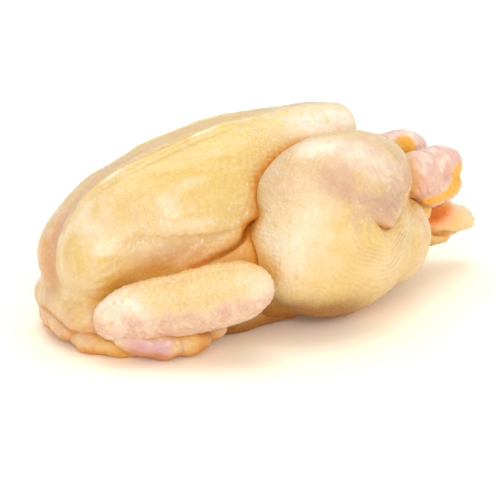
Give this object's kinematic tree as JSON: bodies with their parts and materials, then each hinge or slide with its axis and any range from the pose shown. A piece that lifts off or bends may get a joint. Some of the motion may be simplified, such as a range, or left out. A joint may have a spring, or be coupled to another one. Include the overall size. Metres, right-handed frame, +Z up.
{
  "type": "whole raw chicken",
  "caption": "Whole raw chicken, plucked and oven-ready, lying on its back with legs trussed against the breast and wings folded under.",
  "frame": {"origin": "middle of the base of the bird's box, on the surface it lies on", "axes": "+X from the neck end to the tail end, +Y towards the far side of the bird, +Z up, out of the breast"},
  "size_m": [0.3174, 0.185, 0.1227],
  "materials": {
    "skin": "moist raw chicken skin, pale yellow with pink flesh showing through"
  },
  "bodies": {
    "root": {"chicken": "skin"}
  },
  "joints": []
}
